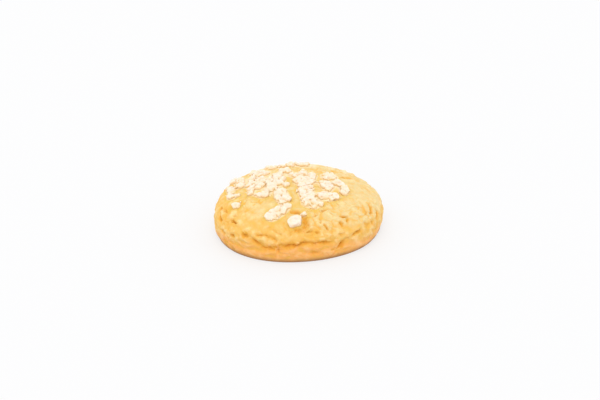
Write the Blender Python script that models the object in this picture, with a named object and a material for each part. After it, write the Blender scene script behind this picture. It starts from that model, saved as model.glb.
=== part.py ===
"""A ginger biscuit with nib sugar baked onto its crown, as one fused solid.

All sizes are in metres, with +Z up and the origin at the middle of the flat base. A fine ball is
drawn out over the domed profile, wrinkled and cracked, and thinned to the faces that its relief
needs. The nibs are faceted lumps of sugar, sunk into the crown and joined to it by one union.
"""

import math
import random
from typing import NamedTuple

import bmesh
import bpy
import numpy as np
from mathutils import Euler, Matrix, Vector, noise
from mathutils.bvhtree import BVHTree

MM = 0.001

# The dough's driving sizes.
WAIST_RADIUS = 32.4 * MM
WAIST_HEIGHT = 6.8 * MM
CROWN_HEIGHT = 18.2 * MM
BASE_RADIUS = 31.0 * MM
CROWN_POWER = 2.25  # 2 is an ellipse, and more makes the shoulder squarer

# Its outline is a circle with these shares of the radius added.
DIAGONAL_STRETCH = 0.025
THREE_SIDED_STRETCH = 0.018
THREE_SIDED_TURN = math.radians(18.3)
FOUR_SIDED_STRETCH = -0.005

# The relief of the crust: how far it moves in or out, and over what distance.
LUMP_DEPTH = 0.55 * MM
LUMP_SIZE = 10.0 * MM
WRINKLE_DEPTH = 0.28 * MM
WRINKLE_LENGTH = 4.5 * MM
WRINKLE_HEIGHT = 2.2 * MM
WRINKLE_TOP = 17.0 * MM  # the wrinkles fade out this far up the skin
FOOT_FADE = 2.5 * MM  # the relief starts this far up the skin, so that the base stays flat

# The cracks and pits of the crust.
CRACK_TAPER = 1.6 * MM
SHORT_PIT = 3.0 * MM  # a pit shorter than this keeps its depth to its ends
CRACK_JAG = 0.40 * MM  # how far the ragged edges of a crack wander
CRACK_JAG_SIZE = 1.9 * MM
CRACK_SIZE = 3.0 * MM  # over what distance its depth changes
CRACK_STRENGTH = 0.9  # the mean share of its depth that a crack reaches
CRACK_UNEVENNESS = 0.7  # how much that share varies along it
LEAST_TAPER = 0.35  # the share of its depth that a long crack keeps at its ends
LIP_SHARE = 0.15  # the raised edge beside a crack, as a share of its depth
LIP_DISTANCE = 2.3  # how far that edge is from its middle line, in widths

# The mesh.
BALL_SUBDIVISIONS = 7
DOUGH_FACES = 6700
BASE_EDGE_TURN = math.radians(128)  # the ball's polar angle that lands on the base's edge

# The nibs of sugar.
NIB_SEED = 23
NIB_CORNERS = 9
NIB_LENGTH = (2.8 * MM, 4.0 * MM)
NIB_WIDTH_SHARE = (0.72, 0.95)
NIB_THICKNESS_SHARE = (0.52, 0.75)
NIB_BOXINESS = 0.6  # 1 is an ellipsoid, and less is squarer
NIB_CORNER_REACH = (0.95, 1.12)  # how far out its corners are, as a share of that shape
NIB_SUNK_SHARE = 0.42
NIB_ROOT = 1.0 * MM  # its lower half reaches this much deeper, so that it never overhangs a gap
NIB_LEAN = math.radians(24)
NIB_SPACING = 1.95 * MM
NIB_SHARES = (0.2, 0.8)  # a nib stands within this part of its own step along a patch
NIB_TRIES = 30


class Crack(NamedTuple):
    """A split or a pit in the crust.

    Each of its corners is an azimuth in degrees and a climb in millimetres, which is how far up
    the skin it is from the base's edge. Azimuths rise along it.
    """

    corners: tuple[tuple[float, float], ...]
    depth: float  # in millimetres, as is the width of one side of it
    width: float


class Patch(NamedTuple):
    """A strip of the crown, seen from above, over which some nibs fell."""

    start: tuple[float, float]
    end: tuple[float, float]
    width: float
    count: int


class Nib(NamedTuple):
    """One lump of sugar: its place seen from above, its three sizes and how it is turned."""

    x: float
    y: float
    size: tuple[float, float, float]
    turn: Euler


FRONT_CRACKS = (
    Crack(((-120, 9.2), (-114.5, 7.4), (-111, 6.1), (-106, 6.1), (-102.5, 6.0)), 1.5, 0.55),
    Crack(((-102.5, 6.0), (-100.5, 7.3), (-97, 7.2), (-93.2, 7.9), (-90.2, 7.3)), 1.5, 0.55),
    Crack(((-90.2, 7.3), (-87, 8.6), (-82, 8.4), (-78.5, 7.9)), 1.4, 0.55),
    Crack(((-78.5, 7.9), (-74, 8.2), (-70, 7.5), (-66.5, 7.4)), 1.2, 0.55),
    Crack(((-118, 10.4), (-113, 11.0), (-107.5, 10.5), (-102, 9.1)), 0.8, 0.5),
    Crack(((-125, 9.6), (-123.6, 9.9)), 1.6, 0.85),
    Crack(((-137, 7.1), (-133, 7.9)), 1.6, 0.6),
    Crack(((-145.5, 6.9), (-144.8, 7.1)), 0.9, 0.55),
    Crack(((-155, 11.6), (-152, 10.8), (-148.5, 10.2)), 1.8, 0.6),
    Crack(((-158.8, 12.9), (-158, 12.9)), 1.2, 0.6),
    Crack(((-140.5, 12.7), (-137.5, 12.7), (-134.5, 12.6)), 1.4, 0.55),
)

RIGHT_CRACKS = (
    Crack(((-64.2, 4.9), (-60.2, 6.9)), 1.7, 0.7),
    Crack(((-57, 7.4), (-53.3, 7.0)), 0.9, 0.45),
    Crack(((-52.3, 7.7), (-48.5, 8.7), (-43, 9.3)), 1.2, 0.55),
    Crack(((-30.2, 11.6), (-27, 12.6), (-23.5, 14.2), (-19.5, 15.3)), 0.9, 0.6),
    Crack(((-24, 9.2), (-21, 10.5), (-16.8, 11.0)), 1.2, 0.6),
    Crack(((21, 26.4), (21.8, 20.4)), 1.0, 0.75),
    Crack(((37, 20.6), (42, 22.3)), 0.8, 0.7),
)

# The torn crust round the largest nib.
CROWN_CRACKS = (
    Crack(((-95, 21.4), (-90.5, 21.2)), 1.5, 0.8),
    Crack(((-95.5, 13.6), (-89.5, 13.7), (-86.5, 14.2)), 1.4, 0.9),
    Crack(((-86.0, 18.2), (-84.4, 15.8)), 1.6, 1.0),
)

# Those of the far side, drawn at random. Climbs, depths and widths are in millimetres.
BACK_SEED = 5
BACK_RANGE = (10, 172)  # azimuths, in degrees
BACK_LENGTH = (5, 30)  # in degrees, as is the gap
BACK_GAP = (2, 9)
BACK_STEP = 4  # the degrees from one corner to the next
BACK_CLIMBS = (7.9, 7.9, 10.9)
BACK_WAVE = 1.2
BACK_DEPTH = (0.8, 1.6)
BACK_WIDTH = 0.55
BACK_PITS = 34
PIT_CLIMB = (5.5, 16.0)
PIT_LENGTH = (0.5, 5)  # in degrees
PIT_RISE = 1.2
PIT_DEPTH = (0.4, 1.1)
PIT_WIDTH = (0.4, 0.65)

PATCHES = (
    Patch((-27 * MM, 9.5 * MM), (-21.5 * MM, 4.5 * MM), 2.2 * MM, 4),
    Patch((-27.5 * MM, 3 * MM), (-25.4 * MM, -8.8 * MM), 1.2 * MM, 5),
    Patch((-24.5 * MM, 1.5 * MM), (-20.4 * MM, -0.8 * MM), 2 * MM, 3),
    Patch((-22.9 * MM, -8.6 * MM), (-22.8 * MM, -8.6 * MM), 0.2 * MM, 1),
    Patch((-23.2 * MM, -14.7 * MM), (-23 * MM, -14.7 * MM), 0.2 * MM, 1),
    Patch((-17.8 * MM, -9.6 * MM), (-18.5 * MM, 7 * MM), 2.2 * MM, 8),
    Patch((-15.6 * MM, -11.8 * MM), (-11.8 * MM, -9.8 * MM), 2 * MM, 3),
    Patch((-11.4 * MM, -8.8 * MM), (-9.8 * MM, -2.4 * MM), 2.4 * MM, 4),
    Patch((-15.6 * MM, -6 * MM), (-15.6 * MM, 4 * MM), 3 * MM, 6),
    Patch((-12.8 * MM, -5 * MM), (-12.2 * MM, 3 * MM), 2.2 * MM, 4),
    Patch((-17.3 * MM, 13.6 * MM), (-14 * MM, 7.2 * MM), 4 * MM, 6),
    Patch((-9 * MM, 7.4 * MM), (-7.3 * MM, -3.6 * MM), 2.8 * MM, 7),
    Patch((-7 * MM, 10.6 * MM), (-5 * MM, 8.8 * MM), 2 * MM, 2),
    Patch((-5.4 * MM, -4.8 * MM), (-3.4 * MM, -5.8 * MM), 1 * MM, 2),
    Patch((-7.4 * MM, -8.6 * MM), (-5.6 * MM, -17.6 * MM), 3 * MM, 7),
    Patch((-4.2 * MM, -20 * MM), (-12 * MM, -25.2 * MM), 2.6 * MM, 8),
    Patch((1.5 * MM, -23.6 * MM), (1.6 * MM, -23.5 * MM), 0.2 * MM, 1),
    Patch((-2.6 * MM, 6.6 * MM), (-0.4 * MM, 1.4 * MM), 2.6 * MM, 4),
    Patch((0 * MM, 0.4 * MM), (0.8 * MM, -3.6 * MM), 3 * MM, 4),
    Patch((0.8 * MM, 8.8 * MM), (2.6 * MM, 4.2 * MM), 1.6 * MM, 3),
    Patch((4.6 * MM, 4.6 * MM), (3.4 * MM, -4.6 * MM), 1.6 * MM, 5),
    Patch((2 * MM, -5.4 * MM), (3.4 * MM, -19.6 * MM), 3.6 * MM, 13),
    Patch((5.8 * MM, -17.2 * MM), (8.2 * MM, -18 * MM), 2.2 * MM, 3),
    Patch((9.4 * MM, 4 * MM), (13.4 * MM, 4.8 * MM), 4.4 * MM, 7),
    Patch((8.6 * MM, -1.6 * MM), (11.6 * MM, -7.4 * MM), 2.6 * MM, 5),
    Patch((12.2 * MM, -3.8 * MM), (14.6 * MM, -0.2 * MM), 1.2 * MM, 2),
    Patch((16.2 * MM, -1.4 * MM), (16.6 * MM, -9.2 * MM), 1.6 * MM, 4),
    Patch((7.3 * MM, -12 * MM), (13.2 * MM, -13 * MM), 2.6 * MM, 6),
    Patch((-13 * MM, 19 * MM), (4 * MM, 19.5 * MM), 7 * MM, 8),
)

LARGEST_NIB = Nib(-1.9 * MM, -26.4 * MM, (5.6 * MM, 4.6 * MM, 4.8 * MM), Euler((0.2, -0.1, 0.4)))

DOUGH_COLOUR = (0.78, 0.50, 0.17, 1.0)
SUGAR_COLOUR = (0.90, 0.86, 0.76, 1.0)


def clear_scene():
    """Removes what the scene holds at the start."""
    for obj in list(bpy.data.objects):
        bpy.data.objects.remove(obj)


def make_material(name, colour, roughness):
    """A matt material of one colour."""
    material = bpy.data.materials.new(name)
    material.use_nodes = True
    shader = material.node_tree.nodes["Principled BSDF"]
    shader.inputs["Base Color"].default_value = colour
    shader.inputs["Roughness"].default_value = roughness
    shader.inputs["Metallic"].default_value = 0.0
    return material


def smooth_step(value):
    """A ramp from 0 to 1 that eases in and out."""
    share = np.clip(value, 0.0, 1.0)
    return share * share * (3 - 2 * share)


def dough_profile():
    """The skin from the crown's middle, over the waist, to the middle of the base.

    Returns the distance along the skin, the radius and the height of its points, and the distance
    at which the skin meets the base's edge.
    """
    turn = np.linspace(0.0, math.pi / 2, 181)
    power = 2 / CROWN_POWER
    crown_rise = CROWN_HEIGHT - WAIST_HEIGHT
    crown = (WAIST_RADIUS * np.sin(turn) ** power, WAIST_HEIGHT + crown_rise * np.cos(turn) ** power)
    tuck = WAIST_RADIUS - BASE_RADIUS
    under = (BASE_RADIUS + tuck * np.cos(turn), WAIST_HEIGHT * (1 - np.sin(turn)))
    radius = np.concatenate([crown[0], under[0][1:], [0.0]])
    height = np.concatenate([crown[1], under[1][1:], [0.0]])
    run = np.concatenate([[0.0], np.cumsum(np.hypot(np.diff(radius), np.diff(height)))])
    return run, radius, height, run[-2]


def outline_share(azimuth):
    """How far the outline is from a true circle, as a share of its radius."""
    diagonal = DIAGONAL_STRETCH * np.sin(2 * azimuth)
    three_sided = THREE_SIDED_STRETCH * np.cos(3 * (azimuth + THREE_SIDED_TURN))
    return diagonal + three_sided + FOUR_SIDED_STRETCH * np.cos(4 * azimuth)


def crown_height_at(x, y):
    """The height of the crown without its relief, over a place seen from above."""
    _, radii, heights, _ = dough_profile()
    top = radii.argmax() + 1
    radius = math.hypot(x, y) / (1 + outline_share(math.atan2(y, x)))
    return float(np.interp(radius, radii[:top], heights[:top]))


def back_cracks():
    """Cracks and pits round the far side, of the same kinds as those at the front."""
    draw = random.Random(BACK_SEED)
    azimuth, last = BACK_RANGE
    cracks = []
    while azimuth < last:
        end = azimuth + draw.uniform(*BACK_LENGTH)
        level = draw.choice(BACK_CLIMBS)
        turns = np.linspace(azimuth, end, max(2, round((end - azimuth) / BACK_STEP) + 1))
        corners = tuple((turn, level + draw.uniform(-1, 1) * BACK_WAVE) for turn in turns)
        cracks.append(Crack(corners, draw.uniform(*BACK_DEPTH), BACK_WIDTH))
        azimuth = end + draw.uniform(*BACK_GAP)
    for _ in range(BACK_PITS):
        turn, climb = draw.uniform(*BACK_RANGE), draw.uniform(*PIT_CLIMB)
        end = (turn + draw.uniform(*PIT_LENGTH), climb + draw.uniform(-PIT_RISE, PIT_RISE))
        depth, width = draw.uniform(*PIT_DEPTH), draw.uniform(*PIT_WIDTH)
        cracks.append(Crack(((turn, climb), end), depth, width))
    return tuple(cracks)


def noise_at(points, size, seed=0.0):
    """Smooth noise from -1 to 1 at each point, with features of about the given size or sizes."""
    offset = Vector((seed, seed * 1.7, seed * 0.3))
    scaled = points / np.asarray(size)
    return np.array([noise.noise(Vector(p) + offset) for p in scaled])


def crack_relief(crack, azimuth, climb, radius, sway, drift, strength):
    """How far one crack moves the skin: a groove with a raised lip on each side.

    sway and drift are how far its ragged edges wander up the skin and along it.
    """
    corners = np.array(crack.corners)
    middle = math.radians(corners[:, 0].mean())
    turn = np.mod(azimuth - middle + math.pi, 2 * math.pi) - math.pi
    reach = np.maximum(radius, MM)
    nearest = np.full(len(turn), 1.0)
    walked = np.zeros(len(turn))
    length = 0.0
    for start, end in zip(corners[:-1], corners[1:], strict=True):
        along = (turn + middle - math.radians(start[0])) * reach + drift
        above = climb - start[1] * MM + sway
        run = math.radians(end[0] - start[0]) * reach
        rise = (end[1] - start[1]) * MM
        step = np.hypot(run, rise)
        share = np.clip((along * run + above * rise) / step**2, 0.0, 1.0)
        gap = np.hypot(along - share * run, above - share * rise)
        walked = np.where(gap < nearest, length + share * step, walked)
        nearest = np.minimum(gap, nearest)
        length = length + step
    across = nearest / (crack.width * MM)
    least = np.clip(1.25 - length / SHORT_PIT, LEAST_TAPER, 1.0)
    from_end = np.minimum(walked, length - walked)
    taper = least + (1 - least) * smooth_step(from_end / CRACK_TAPER)
    lip = LIP_SHARE * np.exp(-((across - LIP_DISTANCE) ** 2))
    return crack.depth * MM * strength * taper * (lip - np.exp(-(across**2)))


def relief(points, azimuth, climb, radius):
    """How far each point of the skin moves out along its normal."""
    lumps = LUMP_DEPTH * noise_at(points, LUMP_SIZE, 3.1)
    wrinkle_size = (WRINKLE_LENGTH, WRINKLE_LENGTH, WRINKLE_HEIGHT)
    folds = 1 - 2 * np.abs(noise_at(points, wrinkle_size, 8.4))
    in_band = smooth_step((WRINKLE_TOP - climb) / (WRINKLE_TOP / 2))
    wrinkles = WRINKLE_DEPTH * in_band * (folds - 0.5)
    sway = CRACK_JAG * noise_at(points, CRACK_JAG_SIZE, 5.9)
    drift = CRACK_JAG * noise_at(points, CRACK_JAG_SIZE, 11.2)
    strength = CRACK_STRENGTH + CRACK_UNEVENNESS * noise_at(points, CRACK_SIZE, 1.3)
    cracks = sum(
        crack_relief(crack, azimuth, climb, radius, sway, drift, strength)
        for crack in FRONT_CRACKS + RIGHT_CRACKS + CROWN_CRACKS + back_cracks()
    )
    return (lumps + wrinkles + cracks) * smooth_step(climb / FOOT_FADE)


def dough_ball(mesh):
    """Fills the mesh with a fine ball drawn out over the profile, with its relief."""
    ball = bmesh.new()
    bmesh.ops.create_icosphere(ball, subdivisions=BALL_SUBDIVISIONS, radius=1.0)
    ball.to_mesh(mesh)
    ball.free()
    points = np.empty(len(mesh.vertices) * 3)
    mesh.vertices.foreach_get("co", points)
    points = points.reshape(-1, 3)

    run, radii, heights, edge_run = dough_profile()
    polar = np.arccos(np.clip(points[:, 2], -1.0, 1.0))
    azimuth = np.arctan2(points[:, 1], points[:, 0])
    reach = np.interp(polar, [0.0, BASE_EDGE_TURN, math.pi], [0.0, edge_run, run[-1]])
    radius = np.interp(reach, run, radii) * (1 + outline_share(azimuth))
    height = np.interp(reach, run, heights)
    skin = np.column_stack([radius * np.cos(azimuth), radius * np.sin(azimuth), height])
    mesh.vertices.foreach_set("co", skin.ravel())
    mesh.update()

    normals = np.empty(len(mesh.vertices) * 3)
    mesh.vertex_normals.foreach_get("vector", normals)
    moved = relief(skin, azimuth, edge_run - reach, radius)
    skin += normals.reshape(-1, 3) * moved[:, None]
    skin[:, :2] -= (skin[:, :2].min(axis=0) + skin[:, :2].max(axis=0)) / 2
    skin[reach >= edge_run, 2] = 0.0
    mesh.vertices.foreach_set("co", skin.ravel())
    mesh.update()


def flatten_base(mesh):
    """Makes the base one flat face."""
    flat = bmesh.new()
    flat.from_mesh(mesh)
    on_base = [v for v in flat.verts if v.co.z < 1e-6]
    for vertex in on_base:
        vertex.co.z = 0.0
    base = set(on_base)
    faces = [f for f in flat.faces if all(v in base for v in f.verts)]
    bmesh.ops.dissolve_faces(flat, faces=faces, use_verts=True)
    flat.to_mesh(mesh)
    flat.free()


def make_dough():
    """The biscuit without its sugar, as an object thinned to its working number of faces."""
    mesh = bpy.data.meshes.new("biscuit")
    dough_ball(mesh)
    dough = bpy.data.objects.new("biscuit", mesh)
    bpy.context.collection.objects.link(dough)
    mesh.materials.append(make_material("baked_dough", DOUGH_COLOUR, 0.85))

    thin = dough.modifiers.new("thin", "DECIMATE")
    thin.ratio = DOUGH_FACES / len(mesh.polygons)
    apply_modifier(dough, thin)
    flatten_base(dough.data)
    return dough


def apply_modifier(obj, modifier):
    """Applies one modifier of an object."""
    with bpy.context.temp_override(object=obj, active_object=obj, selected_objects=[obj]):
        bpy.ops.object.modifier_apply(modifier=modifier.name)


def random_nib(draw, x, y):
    """A nib of random size, turned at random about the vertical and leaning a little."""
    length = draw.uniform(*NIB_LENGTH)
    width = length * draw.uniform(*NIB_WIDTH_SHARE)
    thickness = length * draw.uniform(*NIB_THICKNESS_SHARE)
    lean = (draw.uniform(-NIB_LEAN, NIB_LEAN), draw.uniform(-NIB_LEAN, NIB_LEAN))
    return Nib(x, y, (length, width, thickness), Euler((*lean, draw.uniform(0.0, math.tau))))


def scatter_nibs():
    """The nibs of every patch, spread evenly along it and kept apart from each other."""
    draw = random.Random(NIB_SEED)
    nibs = [LARGEST_NIB]
    for patch in PATCHES:
        start, end = Vector(patch.start), Vector(patch.end)
        side = (end - start).normalized().orthogonal()
        for index in range(patch.count):
            for _ in range(NIB_TRIES):
                share = (index + draw.uniform(*NIB_SHARES)) / patch.count
                offset = patch.width * (draw.random() - 0.5)
                place = start.lerp(end, share) + side * offset
                if all(math.dist(place, (nib.x, nib.y)) > NIB_SPACING for nib in nibs):
                    nibs.append(random_nib(draw, place.x, place.y))
                    break
    return nibs


def nib_mesh(nib, draw, foot, up):
    """A faceted lump of sugar: the hull of points spread evenly over a squarish ball."""
    lump = bmesh.new()
    golden = math.pi * (3 - math.sqrt(5))
    for index in range(NIB_CORNERS):
        z = 1 - 2 * (index + 0.5) / NIB_CORNERS
        angle = golden * index + draw.uniform(-0.3, 0.3)
        flat = math.sqrt(1 - z * z)
        direction = Vector((flat * math.cos(angle), flat * math.sin(angle), z))
        squared = [math.copysign(abs(c) ** NIB_BOXINESS, c) for c in direction]
        corner = Vector(s * c / 2 for s, c in zip(nib.size, squared, strict=True))
        corner *= draw.uniform(*NIB_CORNER_REACH)
        if corner.z < 0:
            corner.z -= NIB_ROOT
        lump.verts.new(corner)
    hull = bmesh.ops.convex_hull(lump, input=lump.verts)
    bmesh.ops.delete(lump, geom=hull["geom_interior"], context="VERTS")
    bmesh.ops.triangulate(lump, faces=lump.faces)
    bmesh.ops.recalc_face_normals(lump, faces=lump.faces)
    stand = up.to_track_quat("Z", "Y").to_matrix() @ nib.turn.to_matrix()
    middle = foot + up * nib.size[2] * (0.5 - NIB_SUNK_SHARE)
    bmesh.ops.transform(lump, matrix=Matrix.Translation(middle) @ stand.to_4x4(), verts=lump.verts)
    mesh = bpy.data.meshes.new("nib")
    lump.to_mesh(mesh)
    lump.free()
    return mesh


def fuse_nibs(dough):
    """Joins the nibs to the dough by one Boolean union, and removes their own objects."""
    skin = BVHTree.FromObject(dough, bpy.context.evaluated_depsgraph_get())
    sugar = make_material("nib_sugar", SUGAR_COLOUR, 0.6)
    dough.data.materials.append(sugar)
    loose = bpy.data.collections.new("nibs")
    bpy.context.scene.collection.children.link(loose)
    draw = random.Random(NIB_SEED + 1)
    for nib in scatter_nibs():
        foot, up, _, _ = skin.find_nearest((nib.x, nib.y, crown_height_at(nib.x, nib.y)))
        mesh = nib_mesh(nib, draw, foot, up)
        mesh.materials.append(sugar)
        loose.objects.link(bpy.data.objects.new("nib", mesh))

    union = dough.modifiers.new("fuse", "BOOLEAN")
    union.operation = "UNION"
    union.operand_type = "COLLECTION"
    union.collection = loose
    union.solver = "EXACT"
    union.material_mode = "TRANSFER"
    apply_modifier(dough, union)
    for obj in list(loose.objects):
        bpy.data.objects.remove(obj)
    bpy.data.collections.remove(loose)


def main():
    """Builds the biscuit."""
    clear_scene()
    dough = make_dough()
    fuse_nibs(dough)
    dough.data.shade_smooth()
    dough.data.set_sharp_from_angle(angle=math.radians(38))


main()
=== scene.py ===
"""The looks of a soft ginger biscuit with nib sugar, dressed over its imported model.

The dough is a fine mesh laid over the same domed profile as the solid, with the same ring of
cracks and a finer crumb. The nibs of sugar lie within a millimetre of the solid's. They melt into
each other and into the fine sugar between them, and loose crumbs of sugar lie round them.
"""

import logging
import math
import random
from dataclasses import dataclass
from enum import Enum

import bpy
import numpy as np
from mathutils import Euler, Matrix, Quaternion, Vector, noise
from mathutils.bvhtree import BVHTree


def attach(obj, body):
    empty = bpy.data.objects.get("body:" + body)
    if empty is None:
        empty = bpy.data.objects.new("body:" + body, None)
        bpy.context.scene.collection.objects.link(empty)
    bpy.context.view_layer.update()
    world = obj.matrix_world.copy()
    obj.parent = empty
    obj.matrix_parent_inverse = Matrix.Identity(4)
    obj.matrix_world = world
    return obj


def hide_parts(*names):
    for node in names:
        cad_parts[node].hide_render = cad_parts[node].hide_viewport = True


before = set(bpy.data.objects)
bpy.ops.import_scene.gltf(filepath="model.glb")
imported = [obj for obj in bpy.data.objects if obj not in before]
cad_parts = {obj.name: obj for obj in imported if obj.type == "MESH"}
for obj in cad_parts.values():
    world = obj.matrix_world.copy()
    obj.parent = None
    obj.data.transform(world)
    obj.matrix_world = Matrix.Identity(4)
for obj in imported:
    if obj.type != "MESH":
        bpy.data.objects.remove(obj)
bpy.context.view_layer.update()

MM = 0.001
LOG = logging.getLogger("ginger_biscuit")


class Slot(Enum):
    """The material slots of the record."""

    DOUGH = "dough"
    SUGAR = "sugar"


class Mark(Enum):
    """What a vertex says about the dough or the sugar there, as a number from 0 to 1."""

    # a crack's colour is also painted shade beside it and deep in it
    SPLIT = "split"  # how deep inside a crack it is
    GLAZE = "nib_gold"  # how near a nib it is, where the crust is a richer gold
    # the finish paints highlights on the tops and shade in the hollows
    RELIEF = "relief"  # from the hollows between the small bumps to their tops
    DUST = "dust_and_sheen"  # sugar dusting, and painted sheen on the crown's back
    # the crevices get painted shade
    CREVICE = "crevice"  # how deep between two lumps of sugar it is
    SOAKED = "soaked"  # how much of the dough's syrup the sugar drew up


class Fade(Enum):
    """How one colour gives way to another."""

    EVEN = "LINEAR"
    SOFT = "SMOOTHSTEP"


Pair = tuple[float, float]
Triple = tuple[float, float, float]
Array = np.ndarray
Piece = bpy.types.Object
Tree = bpy.types.NodeTree
Socket = bpy.types.NodeSocket


# ---- what the classes share


def linear(hex_colour: str) -> tuple[float, ...]:
    """Turns an sRGB colour of six hexadecimal digits into a linear one with an alpha of 1."""
    shares = (int(hex_colour[i : i + 2], 16) / 255 for i in (0, 2, 4))
    return *(s / 12.92 if s <= 0.04045 else ((s + 0.055) / 1.055) ** 2.4 for s in shares), 1.0


def add_node(
    tree: Tree,
    kind: str,
    inputs: dict[str | int, object],
    output: int | str = 0,
    **settings: object,
) -> Socket:
    """Adds one shader node to a tree.

    Args:
        tree: The node tree.
        kind: The node's type, without the ShaderNode in front of it.
        inputs: For each input, by name or number, the socket that feeds it or its value.
        output: The output that is used.
        **settings: The node's own settings.

    Returns:
        The output's socket.
    """
    node = tree.nodes.new(f"ShaderNode{kind}")
    for name, value in settings.items():
        setattr(node, name, value)
    for name, value in inputs.items():
        if isinstance(value, Socket):
            tree.links.new(value, node.inputs[name])
        else:
            node.inputs[name].default_value = value
    return node.outputs[output]


def new_material(
    name: str, sockets: dict[str, object]
) -> tuple[bpy.types.Material, Tree, bpy.types.Node]:
    """Makes a material of one Principled shader.

    Args:
        name: The material's name.
        sockets: The values of the shader's own sockets.

    Returns:
        The material, its node tree and its shader.
    """
    material = bpy.data.materials.new(name)
    material.use_nodes = True
    shader = material.node_tree.nodes["Principled BSDF"]
    for socket, value in sockets.items():
        shader.inputs[socket].default_value = value
    return material, material.node_tree, shader


def coat(
    tree: Tree,
    under: Socket | str,
    over: Socket | str,
    pattern: Socket,
    span: Pair = (0.0, 1.0),
    most: float = 1.0,
    fade: Fade = Fade.SOFT,
) -> Socket:
    """Lays one colour over another where a pattern's value is high, or low.

    Args:
        tree: The node tree.
        under: The colour below, as a socket or a hex value.
        over: The colour on top, likewise.
        pattern: The pattern.
        span: The values at which the top colour starts to show, and shows most.
        most: How much of it shows there.
        fade: How it comes in between the two.

    Returns:
        The colour that results.
    """
    edges = {"Value": pattern, "From Min": span[0], "From Max": span[1], "To Max": most}
    share = add_node(tree, "MapRange", edges, interpolation_type=fade.value)
    first, second = (linear(c) if isinstance(c, str) else c for c in (under, over))
    return add_node(tree, "Mix", {0: share, 6: first, 7: second}, 2, data_type="RGBA")


def smooth_step(value: Array | float) -> Array:
    """Gives a ramp from 0 to 1 that eases in and out."""
    share = np.clip(value, 0.0, 1.0)
    return share * share * (3 - 2 * share)


def bell(value: Array) -> Array:
    """Gives a bell curve, which is 1 at 0 and near 0 from 2 onwards."""
    return np.exp(-(value**2))


@dataclass(frozen=True)
class Ripple:
    """Smooth noise over a surface."""

    strength: float
    size: float | Triple  # of its features, along every axis or along each
    seed: float  # another number gives another pattern

    def at(self, points: Array) -> Array:
        """Gives a number for each point, from minus the strength to the strength."""
        move = Vector((self.seed, self.seed * 1.7, self.seed * 0.3))
        return self.strength * np.array([noise.noise(Vector(p) + move) for p in points / self.size])


def read_rows(items: bpy.types.bpy_prop_collection, name: str) -> Array:
    """Reads one vector from each item of a mesh's list.

    Args:
        items: The list, such as that of its vertices.
        name: The vector's name.

    Returns:
        The vectors, one a row.
    """
    rows = np.empty(len(items) * 3)
    items.foreach_get(name, rows)
    return rows.reshape(-1, 3)


def write_points(mesh: bpy.types.Mesh, points: Array) -> None:
    """Moves a mesh's vertices to the given rows."""
    mesh.vertices.foreach_set("co", points.ravel())
    mesh.update()


def mark_points(mesh: bpy.types.Mesh, mark: Mark, values: Array) -> None:
    """Writes one number a vertex as an attribute of the mesh."""
    attribute = mesh.attributes.new(mark.value, "FLOAT", "POINT")
    attribute.data.foreach_set("value", values.astype(np.float32))


def deselect_all() -> None:
    """Leaves nothing selected, as an operator acts on all that is."""
    bpy.ops.object.select_all(action="DESELECT")


def apply_modifier(piece: Piece, kind: str, **settings: object) -> None:
    """Adds one modifier to a piece and applies it.

    Args:
        piece: The piece.
        kind: The modifier's type.
        **settings: The modifier's own settings.
    """
    deselect_all()
    piece.select_set(True)
    bpy.context.view_layer.objects.active = piece
    modifier = piece.modifiers.new(kind.lower(), kind)
    for name, value in settings.items():
        setattr(modifier, name, value)
    bpy.ops.object.modifier_apply(modifier=modifier.name)


def join_pieces(pieces: list[Piece], name: str) -> Piece:
    """Joins pieces of one kind into one.

    Args:
        pieces: The pieces.
        name: The name of what they become.

    Returns:
        The one piece.
    """
    deselect_all()
    for piece in pieces:
        piece.select_set(True)
    bpy.context.view_layer.objects.active = pieces[0]
    bpy.ops.object.join()
    pieces[0].name = pieces[0].data.name = name
    return pieces[0]


def finish_piece(piece: Piece, material: bpy.types.Material) -> None:
    """Gives a piece its finish and fixes it to the model.

    Args:
        piece: The piece, with its place in its mesh.
        material: The finish.
    """
    piece.data.materials.clear()
    piece.data.materials.append(material)
    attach(piece, "root")
    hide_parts("biscuit")
    piece.data.calc_loop_triangles()
    LOG.info("%s: %d triangles", piece.name, len(piece.data.loop_triangles))


# ---- finishes


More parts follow.
